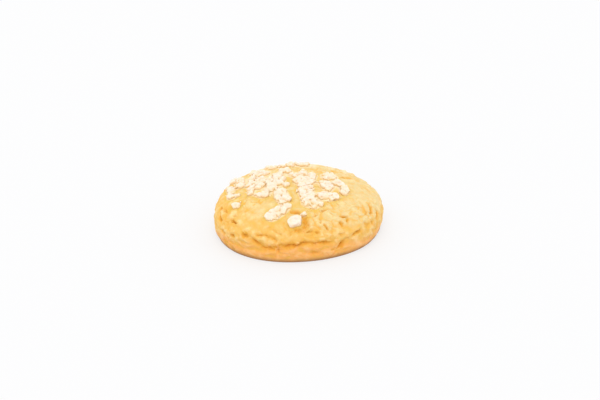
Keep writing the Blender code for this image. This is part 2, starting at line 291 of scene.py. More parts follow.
@dataclass(frozen=True)
class BakedDough:
    """Soft ginger biscuit dough, baked: a matt, sandy crust over a moist crumb.

    Wheat crust has an IOR near 1.45. It is pale gold on the crown, which rose away from the heat,
    more orange on the side that slumped, and brown where it touched the baking sheet; at the very
    bottom edge that brown is painted contact shadow too. Inside a crack the syrupy crumb shows,
    deep orange, and the same orange is painted shade beside a crack and deep in it. The crust is a
    richer gold near the nibs. Its small bumps carry painted highlights on their tops and painted
    shade in the hollows between them, the side has painted light, paler towards the left and right,
    and the crown has a painted sheen, paler towards the back, over its sugar dusting.
    """

    crown: str = "D9BF7F"
    crown_light: str = "E1CB9A"
    shoulder: str = "E0B05A"
    shoulder_light: str = "E6BC6E"
    side: str = "ECAA5C"
    # painted light: the side's colour where it is painted paler towards the left and right
    side_painted_light: str = "EEB282"
    # the next two: paler blotches, and painted highlights on the tops of the small bumps
    raised: str = "F3D49C"
    side_raised: str = "F0C084"
    # golden blotches and specks, and painted shade in the hollows between the bumps
    low: str = "E6AE4C"
    # the browned base; at the very bottom edge its brown is also painted contact shadow
    foot: str = "8E6644"
    # the crack colour: the crumb inside, and painted shade beside a crack and deep in it
    split: str = "E4A43E"
    crown_split: str = "E2A842"
    nib_gold: str = "DCB450"
    dust_and_sheen: str = "F1DDB8"
    crown_span: Pair = (16.0 * MM, 19.2 * MM)  # the height at which a zone fades in
    shoulder_span: Pair = (9.0 * MM, 13.5 * MM)
    foot_span: Pair = (2.5 * MM, 0.1 * MM)
    # painted light on the side, standing in for bounce and grazing light at the left and right
    pale_span: Pair = (19.0 * MM, 33.0 * MM)  # how far out the side turns pale
    pale_share: float = 0.6  # and how pale
    wander: float = 6.0 * MM  # how far the zones' edges wander up and down
    slant: float = 0.13  # how much lower the zones reach away from their middle
    shoulder_middle: float = -3.0 * MM
    crown_middle: float = -11.0 * MM
    patch_size: float = 7.0 * MM
    mottle_size: float = 2.4 * MM
    crumb_size: float = 0.55 * MM
    grain_size: float = 0.22 * MM
    grain_share: float = 0.35  # how high the grain stands beside the crumb
    bump_depth: float = 0.16 * MM
    bump_strength: float = 0.4

    def material(self) -> bpy.types.Material:
        """Builds the material.

        Returns:
            The material, named baked_ginger_dough.
        """
        material, tree, shader = new_material(
            "baked_ginger_dough",
            {
                "Roughness": 0.82,
                "IOR": 1.45,
                "Specular IOR Level": 0.3,
                "Subsurface Weight": 0.25,
                "Subsurface Radius": (1.0, 0.6, 0.3),
                "Subsurface Scale": 1.2 * MM,
            },
        )
        place = add_node(tree, "TexCoord", {}, "Object")
        patches, mottle, crumb, grain = (
            add_node(tree, "TexNoise", {"Vector": place, "Scale": 1 / size, "Detail": detail})
            for size, detail in (
                (self.patch_size, 3.0),
                (self.mottle_size, 3.0),
                (self.crumb_size, 4.0),
                (self.grain_size, 2.0),
            )
        )
        split, nib_gold, relief, dust_and_sheen = (
            add_node(tree, "Attribute", {}, "Fac", attribute_name=mark.value)
            for mark in (Mark.SPLIT, Mark.GLAZE, Mark.RELIEF, Mark.DUST)
        )
        height, sideways, to_shoulder, to_crown = self._zones(tree, place, patches)

        # painted light: the side is paler towards the left and right
        side = coat(tree, self.side, self.side_painted_light, sideways, self.pale_span, self.pale_share)
        shoulder = coat(tree, self.shoulder, self.shoulder_light, patches, fade=Fade.EVEN)
        crown = coat(tree, self.crown, self.crown_light, patches, fade=Fade.EVEN)
        raised = coat(tree, self.side_raised, self.raised, to_shoulder, self.shoulder_span)
        inside = coat(tree, self.split, self.crown_split, to_shoulder, self.shoulder_span)
        colour = coat(tree, side, shoulder, to_shoulder, self.shoulder_span)
        for over, pattern, span, most in (
            (crown, to_crown, self.crown_span, 1.0),
            (self.low, mottle, (0.50, 0.32), 0.5),  # golden blotches
            (raised, mottle, (0.52, 0.68), 0.45),  # and paler ones
            (raised, relief, (0.52, 0.90), 0.6),  # painted highlights on the tops of the bumps
            (self.low, relief, (0.46, 0.10), 0.8),  # painted shade in the hollows between them
            (self.nib_gold, nib_gold, (0.0, 1.0), 0.7),
            # sugar dusting round the nibs, and painted sheen towards the back of the crown
            (self.dust_and_sheen, dust_and_sheen, (0.0, 1.0), 0.85),
            (self.low, crumb, (0.48, 0.30), 0.35),  # specks of crumb
            # the crack colour, partly painted shade beside a crack and deep in it
            (inside, split, (0.05, 0.95), 1.0),
            # the browned foot, whose bottom edge is also painted contact shadow
            (self.foot, height, self.foot_span, 0.92),
        ):
            colour = coat(tree, colour, over, pattern, span, most)

        grains = {0: grain, 1: self.grain_share, 2: crumb}
        bumps = add_node(tree, "Math", grains, operation="MULTIPLY_ADD")
        bump = {"Strength": self.bump_strength, "Distance": self.bump_depth, "Height": bumps}
        tree.links.new(add_node(tree, "Bump", bump), shader.inputs["Normal"])
        tree.links.new(colour, shader.inputs["Base Color"])
        return material

    def _zones(self, tree: Tree, place: Socket, patches: Socket) -> tuple[Socket, ...]:
        """Measures where the crust's zones are, whose edges wander and dip away from the middle.

        Args:
            tree: The node tree.
            place: The place on the dough.
            patches: The noise that the edges wander with.

        Returns:
            The height, how far it is to either side, and the heights that tell the shoulder
            and the crown.
        """
        axes = add_node(tree, "SeparateXYZ", {"Vector": place}).node.outputs
        height = {0: patches, 1: self.wander, 2: axes["Z"]}
        wandering = add_node(tree, "Math", height, operation="MULTIPLY_ADD")
        aways, slants = [], []
        for middle, operation in (  # the shoulder dips to both sides, the crown to the right alone
            (self.shoulder_middle, "ABSOLUTE"),
            (self.crown_middle, "MAXIMUM"),
        ):
            away = add_node(tree, "Math", {0: axes["X"], 1: middle}, operation="SUBTRACT")
            away = add_node(tree, "Math", {0: away, 1: 0.0}, operation=operation)
            aways.append(away)
            slanted = {0: away, 1: self.slant, 2: wandering}
            slants.append(add_node(tree, "Math", slanted, operation="MULTIPLY_ADD"))
        return axes["Z"], aways[0], *slants


@dataclass(frozen=True)
class NibSugar:
    """Nib sugar: white sugar pressed and crushed into lumps of fine grains.

    It is matt and a little translucent, so that its shaded sides stay pale, and warm near the
    dough. Sugar has an IOR of 1.54.
    """

    lump: str = "EBDACA"
    warm: str = "E8D5B6"
    # painted shade in the crevices between lumps
    crevice: str = "E3C898"
    soaked: str = "E6BE78"
    stain_and_shade: float = 0.75  # how much of these two shows at most
    tint_size: float = 2.5 * MM
    tint_span: Pair = (0.35, 0.7)
    grain_size: float = 0.30 * MM
    grain_depth: float = 0.10 * MM
    bump_strength: float = 0.4

    def material(self) -> bpy.types.Material:
        """Builds the material.

        Returns:
            The material, named white_nib_sugar.
        """
        material, tree, shader = new_material(
            "white_nib_sugar",
            {
                "Roughness": 0.6,
                "IOR": 1.54,
                "Subsurface Weight": 0.6,
                "Subsurface Radius": (1.0, 0.9, 0.75),
                "Subsurface Scale": 1.5 * MM,
            },
        )
        place = add_node(tree, "TexCoord", {}, "Object")
        tints = {"Vector": place, "Scale": 1 / self.tint_size, "Detail": 2.0}
        tint = add_node(tree, "TexNoise", tints)
        colour = coat(tree, self.lump, self.warm, tint, self.tint_span, fade=Fade.EVEN)
        # painted shade in the crevices, and the warm colour of syrup where the sugar meets the
        # dough
        for mark, over in ((Mark.CREVICE, self.crevice), (Mark.SOAKED, self.soaked)):
            pattern = add_node(tree, "Attribute", {}, "Fac", attribute_name=mark.value)
            colour = coat(tree, colour, over, pattern, most=self.stain_and_shade, fade=Fade.EVEN)
        grains = add_node(tree, "TexVoronoi", {"Vector": place, "Scale": 1 / self.grain_size})
        bump = {"Strength": self.bump_strength, "Distance": self.grain_depth, "Height": grains}
        tree.links.new(add_node(tree, "Bump", bump, invert=True), shader.inputs["Normal"])
        tree.links.new(colour, shader.inputs["Base Color"])
        return material


@dataclass(frozen=True)
class LitBoard:
    """Opal white acrylic lit from below, so that the biscuit casts only a faint shadow on it."""

    face: str = "8A8A8B"
    glow: str = "FFFFFF"
    glow_strength: float = 0.65

    def material(self) -> bpy.types.Material:
        """Builds the material.

        Returns:
            The material, named opal_acrylic.
        """
        sockets = {
            "Base Color": linear(self.face),
            "Roughness": 1.0,
            "Specular IOR Level": 0.0,
            "Emission Color": linear(self.glow),
            "Emission Strength": self.glow_strength,
        }
        return new_material("opal_acrylic", sockets)[0]


# ---- the dough


@dataclass(frozen=True)
class Skin:
    """Where each vertex of the dough lies on the profile, one row a vertex."""

    points: Array
    azimuth: Array
    radius: Array
    climb: Array  # how far up the skin from the base's edge
    uphill: Array  # the direction in which it climbs


@dataclass(frozen=True)
class Split:
    """A crack or a pit in the crust.

    Each of its corners is an azimuth in degrees and a climb in millimetres, which is how far up
    the skin it is from the base's edge. Azimuths rise along it.
    """

    corners: tuple[Pair, ...]
    depth: float  # in millimetres, as is the width of one side of it
    width: float


@dataclass(frozen=True)
class DomeProfile:
    """The dough's section and its outline, the same as the solid's."""

    waist_radius: float = 32.4 * MM
    waist_height: float = 6.8 * MM
    crown_height: float = 18.2 * MM
    base_radius: float = 31.0 * MM
    crown_power: float = 2.25  # 2 is an ellipse, and more makes the shoulder squarer
    diagonal_stretch: float = 0.025
    three_sided_stretch: float = 0.018
    three_sided_turn: float = math.radians(18.3)
    four_sided_stretch: float = 0.005
    steps: int = 181

    def section(self) -> tuple[Array, Array, Array, float]:
        """Draws the skin from the crown's middle, over the waist, to the middle of the base.

        Returns:
            How far along the skin its points are, their radii and heights, and how far along it
            the base's edge is.
        """
        turn = np.linspace(0.0, math.pi / 2, self.steps)
        power = 2 / self.crown_power
        rise = self.crown_height - self.waist_height
        tuck = self.waist_radius - self.base_radius
        crown_radius = self.waist_radius * np.sin(turn) ** power
        crown_height = self.waist_height + rise * np.cos(turn) ** power
        under_radius = self.base_radius + tuck * np.cos(turn)
        under_height = self.waist_height * (1 - np.sin(turn))
        radius = np.concatenate([crown_radius, under_radius[1:], [0.0]])
        height = np.concatenate([crown_height, under_height[1:], [0.0]])
        run = np.concatenate([[0.0], np.cumsum(np.hypot(np.diff(radius), np.diff(height)))])
        return run, radius, height, run[-2]

    def outline_share(self, azimuth: Array | float) -> Array:
        """Gives how far out of a true circle the outline is.

        Args:
            azimuth: One angle round the biscuit, or many.

        Returns:
            How far, as a share of the radius.
        """
        diagonal = self.diagonal_stretch * np.sin(2 * azimuth)
        three_sided = self.three_sided_stretch * np.cos(3 * (azimuth + self.three_sided_turn))
        return diagonal + three_sided - self.four_sided_stretch * np.cos(4 * azimuth)

    def height_at(self, x: float, y: float) -> float:
        """Gives the height of the crown without its relief.

        Args:
            x: The place, seen from above.
            y: Its other coordinate.

        Returns:
            The height.
        """
        _, radii, heights, _ = self.section()
        top = radii.argmax() + 1
        radius = math.hypot(x, y) / (1 + self.outline_share(math.atan2(y, x)))
        return float(np.interp(radius, radii[:top], heights[:top]))


SPLIT_ROWS = (  # the depth, width and corners of each: of the front, the right and the crown
    (1.4, 0.8, (-120, 9.2), (-114.5, 7.4), (-111, 6.1), (-106, 6.1), (-104.5, 6.7), (-102.5, 6.0)),
    (1.4, 0.75, (-102.5, 6.0), (-100.5, 7.3), (-97, 7.2), (-93.2, 7.9), (-90.2, 7.3)),
    (1.3, 0.75, (-90.2, 7.3), (-87, 8.6), (-82, 8.4), (-78.5, 7.9)),
    (1.2, 0.75, (-78.5, 7.9), (-74, 8.2), (-70, 7.5), (-66.5, 7.4)),
    (0.7, 0.4, (-102.5, 6.0), (-102, 4.9)),
    (0.8, 0.5, (-118, 10.4), (-113, 11.0), (-107.5, 10.5), (-102, 9.1)),
    (0.5, 0.5, (-113, 13.6), (-110, 14.0), (-105.5, 12.9), (-101, 11.6), (-97, 10.0)),
    (0.3, 0.4, (-95, 11.7), (-92.5, 12.3)),
    (1.6, 0.85, (-125, 9.6), (-123.6, 9.9)),
    (0.5, 0.5, (-123, 9.7), (-119.5, 9.2)),
    (0.4, 0.5, (-131, 8.6), (-126, 9.3)),
    (1.6, 0.6, (-137, 7.1), (-133, 7.9)),
    (0.6, 0.5, (-142, 6.8), (-141, 6.8)),
    (0.9, 0.55, (-145.5, 6.9), (-144.8, 7.1)),
    (1.8, 0.6, (-155, 11.6), (-152, 10.8), (-148.5, 10.2)),
    (1.2, 0.6, (-158.8, 12.9), (-158, 12.9)),
    (0.8, 0.5, (-155, 13.9), (-149, 13.9)),
    (1.4, 0.55, (-140.5, 12.7), (-137.5, 12.7), (-134.5, 12.6)),
    (0.5, 0.5, (-141, 14.6), (-140, 14.6)),
    (0.7, 0.6, (-85, 4.6), (-80, 4.2), (-74.5, 4.2)),
    (1.9, 0.9, (-63.0, 4.5), (-59.2, 6.4)),
    (0.9, 0.45, (-57, 7.4), (-53.3, 7.0)),
    (1.2, 0.55, (-52.3, 7.7), (-48.5, 8.7), (-43, 9.3)),
    (0.8, 0.55, (-40, 10.5), (-39.4, 10.6)),
    (0.6, 0.5, (-33.4, 12.7), (-31, 13.8)),
    (0.9, 0.6, (-32, 8.7), (-30.2, 9.9)),
    (0.9, 0.6, (-30.2, 11.6), (-27, 12.6), (-23.5, 14.2), (-19.5, 15.3)),
    (1.2, 0.6, (-24, 9.2), (-21, 10.5), (-16.8, 11.0)),
    (0.6, 0.6, (-2.2, 14.4), (1.5, 16.9), (7.3, 18.2)),
    (1.0, 0.75, (21, 26.4), (21.8, 20.4)),
    (0.8, 0.7, (37, 20.6), (42, 22.3)),
    (1.3, 0.4, (-55.8, 16.4), (-50.5, 15.4)),
    (1.1, 0.4, (-52.8, 13.0), (-50.8, 15.2)),
    (1.3, 0.4, (-58.0, 14.3), (-56.8, 12.5)),
    (1.5, 0.4, (-70.6, 14.1), (-69, 12.3)),
    (1.4, 0.4, (-83.5, 12.2), (-80, 12.4)),
    (1.0, 0.5, (-77, 11.7), (-76.6, 11.7)),
    (0.6, 0.5, (-76.5, 18.3), (-73, 19.8)),
    (0.5, 0.5, (-72.5, 15.5), (-72, 16.5)),
    (0.7, 0.45, (-68, 20.5), (-65.5, 20.8)),
    (0.5, 0.5, (-62, 18.6), (-60.5, 17.0)),
    (0.8, 0.5, (-64, 9.7), (-61, 9.6), (-58, 9.9)),
    (0.35, 0.5, (-44.5, 15.3), (-40.5, 15.1)),
    (0.4, 0.6, (-64.8, 21), (-64.2, 21)),
    (0.5, 0.6, (-50, 24.9), (-44, 24.4), (-37, 25.6)),
    (0.5, 0.6, (-101, 27.9), (-100.6, 27.9)),
    (1.5, 0.8, (-95, 21.4), (-90.5, 21.2)),
    (1.2, 0.5, (-91.4, 21.2), (-90.4, 21.2)),
    (1.1, 0.9, (-94.5, 12.9), (-89.5, 13.0), (-86.5, 13.6)),
    (1.0, 0.9, (-86.5, 13.6), (-84.6, 15.8)),
    (2.0, 0.75, (-85.3, 18.0), (-83.9, 15.2)),
)
SPLITS = tuple(Split(tuple(corners), depth, width) for depth, width, *corners in SPLIT_ROWS)


@dataclass(frozen=True)
class SplitCrust:
    """Every crack and pit of the crust: a ring that wanders round the side, and what is off it."""

    sway: tuple[Ripple, ...] = (  # how a crack's ragged edges wander up and down
        Ripple(0.40 * MM, 1.9 * MM, 5.9),
        Ripple(0.28 * MM, 0.76 * MM, 6.3),
        Ripple(0.20 * MM, 0.38 * MM, 8.1),
    )
    drift: Ripple = Ripple(0.40 * MM, 1.9 * MM, 11.2)  # and along it
    strength: float = 0.9  # the mean share of its depth that a crack reaches
    unevenness: tuple[Ripple, ...] = (Ripple(0.7, 3.04 * MM, 1.3), Ripple(0.5, 0.95 * MM, 2.9))
    taper: float = 1.6 * MM
    least_taper: float = 0.35  # the share of its depth that a long crack keeps at its ends
    short_pit: float = 3.0 * MM  # a pit much shorter than this keeps all of it
    lip_share: float = 0.15
    lip_distance: float = 2.3  # in widths, as is the next
    # a crack's colour, spread beside it and strongest where it is deep, is partly painted shade
    stain_reach: float = 1.5  # how far beside its middle line a crack's colour shows
    stain_depth: float = 1.0 * MM  # the depth at which it shows in full
    upper_lip: float = 1.2
    lower_lip: float = 0.8
    undercut: float = 0.15 * MM  # how far a crack's two lips lean over it
    undercut_share: float = 0.35  # and at most this share of its width
    undercut_depth: float = 1.2 * MM
    lean_width: float = 0.7
    back_seed: int = 5
    back_range: Pair = (10, 172)
    back_climbs: tuple[float, ...] = (7.9, 7.9, 10.9)
    back_wave: float = 1.2
    back_step: float = 4.0
    back_length: Pair = (5, 30)
    back_gap: Pair = (2, 9)
    back_depth: Pair = (0.8, 1.6)
    back_width: float = 0.55
    back_pits: int = 34
    pit_climb: Pair = (5.5, 16.0)
    pit_length: Pair = (0.5, 5)
    pit_rise: Pair = (-1.2, 1.2)
    pit_depth: Pair = (0.4, 1.1)
    pit_width: Pair = (0.4, 0.65)

    def splits(self) -> tuple[Split, ...]:
        """Adds cracks and pits of the same kinds round the far side, drawn at random.

        Returns:
            Every crack and pit.
        """
        draw = random.Random(self.back_seed)
        first, last = self.back_range
        splits = []
        azimuth = first
        while azimuth < last:
            end = azimuth + draw.uniform(*self.back_length)
            level = draw.choice(self.back_climbs)
            turns = np.linspace(azimuth, end, max(2, round((end - azimuth) / self.back_step) + 1))
            corners = tuple((turn, level + draw.uniform(-1, 1) * self.back_wave) for turn in turns)
            splits.append(Split(corners, draw.uniform(*self.back_depth), self.back_width))
            azimuth = end + draw.uniform(*self.back_gap)
        for _ in range(self.back_pits):
            turn, climb = draw.uniform(first, last), draw.uniform(*self.pit_climb)
            end = (turn + draw.uniform(*self.pit_length), climb + draw.uniform(*self.pit_rise))
            depth, width = draw.uniform(*self.pit_depth), draw.uniform(*self.pit_width)
            splits.append(Split(((turn, climb), end), depth, width))
        return SPLITS + tuple(splits)

    def moves(self, skin: Skin) -> tuple[Array, Array, Array]:
        """Works out what the cracks do to the skin.

        Args:
            skin: The skin's vertices.

        Returns:
            How far each vertex moves out, how far up the skin, and how much crack colour it gets,
            from 0 to 1, partly painted shade beside a crack and deep in it.
        """
        sway = sum(ripple.at(skin.points) for ripple in self.sway)
        drift = self.drift.at(skin.points)
        strength = self.strength + sum(ripple.at(skin.points) for ripple in self.unevenness)
        out, up, split = np.zeros((3, len(skin.points)))
        for crack in self.splits():
            across, side, from_end, length = self._nearest(crack, skin, sway, drift)
            across /= crack.width * MM
            least = np.clip(1.25 - length / self.short_pit, self.least_taper, 1.0)
            taper = least + (1 - least) * smooth_step(from_end / self.taper)
            depth = crack.depth * MM * strength * taper
            lip = self.lip_share * bell(across - self.lip_distance)
            lip *= np.where(side > 0, self.upper_lip, self.lower_lip)
            out += depth * (lip - bell(across))
            lean = bell((across - 1.0) / self.lean_width)
            lean *= np.clip(depth / self.undercut_depth, 0, 1)
            up -= side * lean * np.minimum(self.undercut, self.undercut_share * crack.width * MM)
            # the crack colour, spread beside the crack as painted shade and strongest where it is
            # deepest
            stain_and_shade = depth / self.stain_depth * bell(across / self.stain_reach)
            split = np.maximum(split, stain_and_shade)
        return out, up, np.clip(split, 0.0, 1.0)

    def _nearest(
        self, crack: Split, skin: Skin, sway: Array, drift: Array
    ) -> tuple[Array, Array, Array, Array]:
        """Measures from each vertex to the middle line of a crack.

        Args:
            crack: The crack.
            skin: The skin's vertices.
            sway: How far the crack's edges wander up the skin at each vertex.
            drift: How far they wander along it.

        Returns:
            How far the line is, 1 above it or -1 below, how far the crack's nearer end is, and
            the crack's length.
        """
        corners = np.array(crack.corners)
        middle = math.radians(corners[:, 0].mean())
        turn = np.mod(skin.azimuth - middle + math.pi, 2 * math.pi) - math.pi
        reach = np.maximum(skin.radius, MM)
        nearest = np.full(len(turn), 1.0)
        side = np.ones(len(turn))
        walked = np.zeros(len(turn))
        done = 0.0
        for start, end in zip(corners[:-1], corners[1:], strict=True):
            along = (turn + middle - math.radians(start[0])) * reach + drift
            above = skin.climb - start[1] * MM + sway
            run = math.radians(end[0] - start[0]) * reach
            rise = (end[1] - start[1]) * MM
            length = np.hypot(run, rise)
            share = np.clip((along * run + above * rise) / length**2, 0.0, 1.0)
            gap = np.hypot(along - share * run, above - share * rise)
            nearer = gap < nearest
            nearest = np.where(nearer, gap, nearest)
            side = np.where(nearer, np.sign(above * run - along * rise), side)
            walked = np.where(nearer, done + share * length, walked)
            done = done + length
        return nearest, side, np.minimum(walked, done - walked), done


@dataclass
class DoughDome:
    """The biscuit's own body, from its browned foot to its crown."""

    profile: DomeProfile = DomeProfile()
    crust: SplitCrust = SplitCrust()
    finish: BakedDough = BakedDough()
    cuts: int = 63
    base_edge_turn: float = math.radians(128)
    foot_fade: float = 2.5 * MM  # the relief fades in this far up the skin
    slope_step: float = 0.05 * MM

    lumps: Ripple = Ripple(0.55 * MM, 10.0 * MM, 3.1)
    folds: Ripple = Ripple(1.0, (4.5 * MM, 4.5 * MM, 2.2 * MM), 8.4)
    wrinkle_depth: float = 0.28 * MM
    wrinkle_top: float = 17.0 * MM
    bumps: Ripple = Ripple(0.20 * MM, 2.6 * MM, 12.4)
    craggy_bumps: float = 1.5  # how much more the bumps stand out on a crag
    crags: tuple[Pair, ...] = ((9.5, -24.5), (-26, -17), (27, -15), (-12, 26), (20, 19))
    crag_reach: float = 9.0 * MM
    ring_climb: float = 8.0 * MM  # the crust is a little craggy round the ring of cracks too
    ring_width: float = 4.5 * MM
    ring_crag: float = 0.3
    crumb: tuple[Ripple, Ripple] = (
        Ripple(0.12 * MM, 1.3 * MM, 2.2),
        Ripple(0.06 * MM, 0.65 * MM, 7.7),
    )
    relief_range: float = 0.8 * MM  # from the deepest small hollow to the top of a bump
    crazed: Ripple = Ripple(1.0, 14.0 * MM, 9.1)
    crazed_share: float = 0.15  # more of it spreads the crazed patches, as does the next
    crazed_crags: float = 0.9
    craze_bends: tuple[Ripple, ...] = tuple(Ripple(0.6 * MM, 2.0 * MM, s) for s in (1.1, 2.7, 4.9))
    craze_depth: float = 0.25 * MM
    craze_size: float = 3.2 * MM
    craze_width: float = 0.09  # as a share of a cell
    craze_shift: Triple = (3.3, 4.29, 2.31)
    pores: Ripple = Ripple(3.2, 1.5 * MM, 6.6)
    pore_gap: float = 1.0  # more of it leaves fewer pores
    pore_depth: float = 0.25 * MM
    sheet_pits: tuple[Ripple, Ripple] = (Ripple(2.5, 2.6 * MM, 5.5), Ripple(3.0, 1.2 * MM, 8.8))
    large_gap: float = 0.6  # more of it leaves fewer of the large pits
    small_gap: float = 0.8  # and of the small
    small_share: float = 0.4  # how deep the small are beside the large
    sheet_pit_depth: float = 0.28 * MM
    sheet_rim: float = 2.0 * MM

    dust_reach: float = 2.2 * MM
    dust_span: Pair = (0.5, 1.2)  # how crowded the nibs are where it starts to show
    back_dust_and_sheen: float = 0.04 / MM  # paler further back: dusting and painted sheen
    dust_foot: float = 9.5 * MM
    dust_fade: float = 4.5 * MM
    dust_patches: Ripple = Ripple(0.7, 3.2 * MM, 3.7)
    nib_gold_reach: float = 2.9 * MM
    nib_gold_edge: Ripple = Ripple(0.35, 2.4 * MM, 4.4)
    nib_gold_foot: float = 4.0 * MM

    def build(self) -> Piece:
        """Builds the dough, without its finish.

        Returns:
            The piece, named baked_dough.
        """
        piece = self._ball()
        skin = self._lay_on_profile(piece.data)
        normals = read_rows(piece.data.vertex_normals, "vector")
        out, up, split = self.crust.moves(skin)
        small = self._small_relief(skin)
        rise = smooth_step(skin.climb / self.foot_fade)
        moved = (out + self.lumps.at(skin.points) + small) * rise
        points = skin.points + normals * moved[:, None] + skin.uphill * (up * rise)[:, None]
        points[:, :2] -= (points[:, :2].min(axis=0) + points[:, :2].max(axis=0)) / 2
        on_base = skin.climb <= 0
        points[on_base, 2] = self._pit_heights(points[on_base], -skin.climb[on_base])
        points[:, 2] = np.maximum(points[:, 2], 0.0)
        write_points(piece.data, points)
        # the relief mark, which the finish turns into painted highlights and painted shade
        relief = np.clip(0.5 + small * rise / self.relief_range, 0.0, 1.0)
        mark_points(piece.data, Mark.SPLIT, split * rise)
        mark_points(piece.data, Mark.RELIEF, relief)
        return piece

    def dress(self, piece: Piece, feet: list[Vector]) -> None:
        """Gives the dough its finish: a richer gold near the nibs, sugar dusting and a painted
        sheen.

        Args:
            piece: The dough.
            feet: Where each nib stands on it.
        """
        points = read_rows(piece.data.vertices, "co")
        nearest = np.full(len(points), 1.0)
        crowd = np.zeros(len(points))
        for foot in feet:
            away = np.linalg.norm(points - np.array(foot), axis=1)
            nearest = np.minimum(nearest, away)
            crowd += bell(away / self.dust_reach)
        # the crown also turns paler towards the back: painted sheen on its far rim, with some
        # dusting
        on_crown = smooth_step((points[:, 2] - self.dust_foot) / self.dust_fade)
        on_crown *= 1 + self.dust_patches.at(points)
        crowd += self.back_dust_and_sheen * np.maximum(points[:, 1], 0.0) * on_crown
        least, most = self.dust_span
        mark_points(piece.data, Mark.DUST, smooth_step((crowd - least) / (most - least)))
        reach = self.nib_gold_reach * (1 + self.nib_gold_edge.at(points))
        nib_gold = smooth_step(1.5 - nearest / reach)  # it fades from half the reach outwards
        nib_gold *= points[:, 2] > self.nib_gold_foot
        mark_points(piece.data, Mark.GLAZE, nib_gold)
        finish_piece(piece, self.finish.material())

    def _ball(self) -> Piece:
        """Makes a fine ball of square faces out of a cube.

        Returns:
            The ball, of radius 1.
        """
        deselect_all()
        bpy.ops.mesh.primitive_cube_add(size=2.0)
        ball = bpy.context.object
        ball.name = ball.data.name = "baked_dough"
        bpy.ops.object.mode_set(mode="EDIT")
        bpy.ops.mesh.select_all(action="SELECT")
        bpy.ops.mesh.subdivide(number_cuts=self.cuts)
        bpy.ops.mesh.subdivide(number_cuts=1)
        bpy.ops.object.mode_set(mode="OBJECT")
        points = np.tan(read_rows(ball.data.vertices, "co") * math.pi / 4)
        write_points(ball.data, points / np.linalg.norm(points, axis=1)[:, None])
        bpy.ops.object.shade_smooth()
        return ball

    def _lay_on_profile(self, mesh: bpy.types.Mesh) -> Skin:
        """Draws the ball out over the profile.

        Args:
            mesh: The ball's mesh, which is changed.

        Returns:
            The skin.
        """
        ball = read_rows(mesh.vertices, "co")
        run, radii, heights, edge = self.profile.section()
        polar = np.arccos(np.clip(ball[:, 2], -1.0, 1.0))
        azimuth = np.arctan2(ball[:, 1], ball[:, 0])
        cos, sin = np.cos(azimuth), np.sin(azimuth)
        reach = np.interp(polar, [0.0, self.base_edge_turn, math.pi], [0.0, edge, run[-1]])
        radius, height = np.interp(reach, run, radii), np.interp(reach, run, heights)
        out = (np.interp(reach - self.slope_step, run, radii) - radius) / self.slope_step
        rise = (np.interp(reach - self.slope_step, run, heights) - height) / self.slope_step
        uphill = np.column_stack([out * cos, out * sin, rise])
        radius *= 1 + self.profile.outline_share(azimuth)
        points = np.column_stack([radius * cos, radius * sin, height])
        write_points(mesh, points)
        return Skin(points, azimuth, radius, edge - reach, uphill)

    def _small_relief(self, skin: Skin) -> Array:
        """Works out the low folds round the side and the bumps, crumb, crazing and pores.

        Args:
            skin: The skin's vertices.

        Returns:
            How far each moves out.
        """
        craggy = self._craggy(skin)
        folds = 1 - 2 * np.abs(self.folds.at(skin.points))
        in_band = smooth_step((self.wrinkle_top - skin.climb) / (self.wrinkle_top / 2))
        small = self.wrinkle_depth * in_band * (folds - 0.5)
        small += self.bumps.at(skin.points) * (1 + self.craggy_bumps * craggy)
        small += sum(ripple.at(skin.points) for ripple in self.crumb)
        crazed = self.crazed_share + self.crazed.at(skin.points) + self.crazed_crags * craggy
        where = smooth_step(crazed)
        bent = skin.points + np.column_stack([bend.at(skin.points) for bend in self.craze_bends])
        lines = bell(self._from_cell_edges(bent) / self.craze_width)
        pores = smooth_step(self.pores.at(skin.points) - self.pore_gap)
        return small - where * (self.craze_depth * lines + self.pore_depth * pores)

    def _craggy(self, skin: Skin) -> Array:
        """Works out where the crust is craggy.

        Args:
            skin: The skin's vertices.

        Returns:
            A number from 0 to 1 for each vertex.
        """
        craggy = self.ring_crag * bell((skin.climb - self.ring_climb) / self.ring_width)
        for crag in self.crags:
            away = np.linalg.norm(skin.points[:, :2] - np.array(crag) * MM, axis=1)
            craggy = np.maximum(craggy, bell(away / self.crag_reach))
        return craggy * (skin.climb > 0)

    def _from_cell_edges(self, points: Array) -> Array:
        """Measures to the nearest edge between the cells of a honeycomb, as a share of a cell."""
        spots = [Vector(point) + Vector(self.craze_shift) for point in points / self.craze_size]
        return np.diff([noise.voronoi(spot)[0][:2] for spot in spots], axis=1)[:, 0]

    def _pit_heights(self, points: Array, inwards: Array) -> Array:
        """Works out the underside, flat where it touched the baking sheet, with shallow pits.

        Args:
            points: The underside's vertices, one a row.
            inwards: How far each is from the base's edge.

        Returns:
            The height of each.
        """
        large, small = (ripple.at(points) for ripple in self.sheet_pits)
        pits = smooth_step(large - self.large_gap)
        pits += self.small_share * smooth_step(small - self.small_gap)
        return self.sheet_pit_depth * pits * smooth_step(inwards / self.sheet_rim)


# ---- the sugar


@dataclass(frozen=True)
class Patch:
    """A strip of the crown, seen from above, over which some nibs fell, in millimetres."""

    start: Pair
    end: Pair
    width: float
    count: int


@dataclass(frozen=True)
class Nib:
    """One lump of sugar: its place seen from above, its three sizes and how it is turned."""

    x: float
    y: float
    size: Triple
    turn: Triple


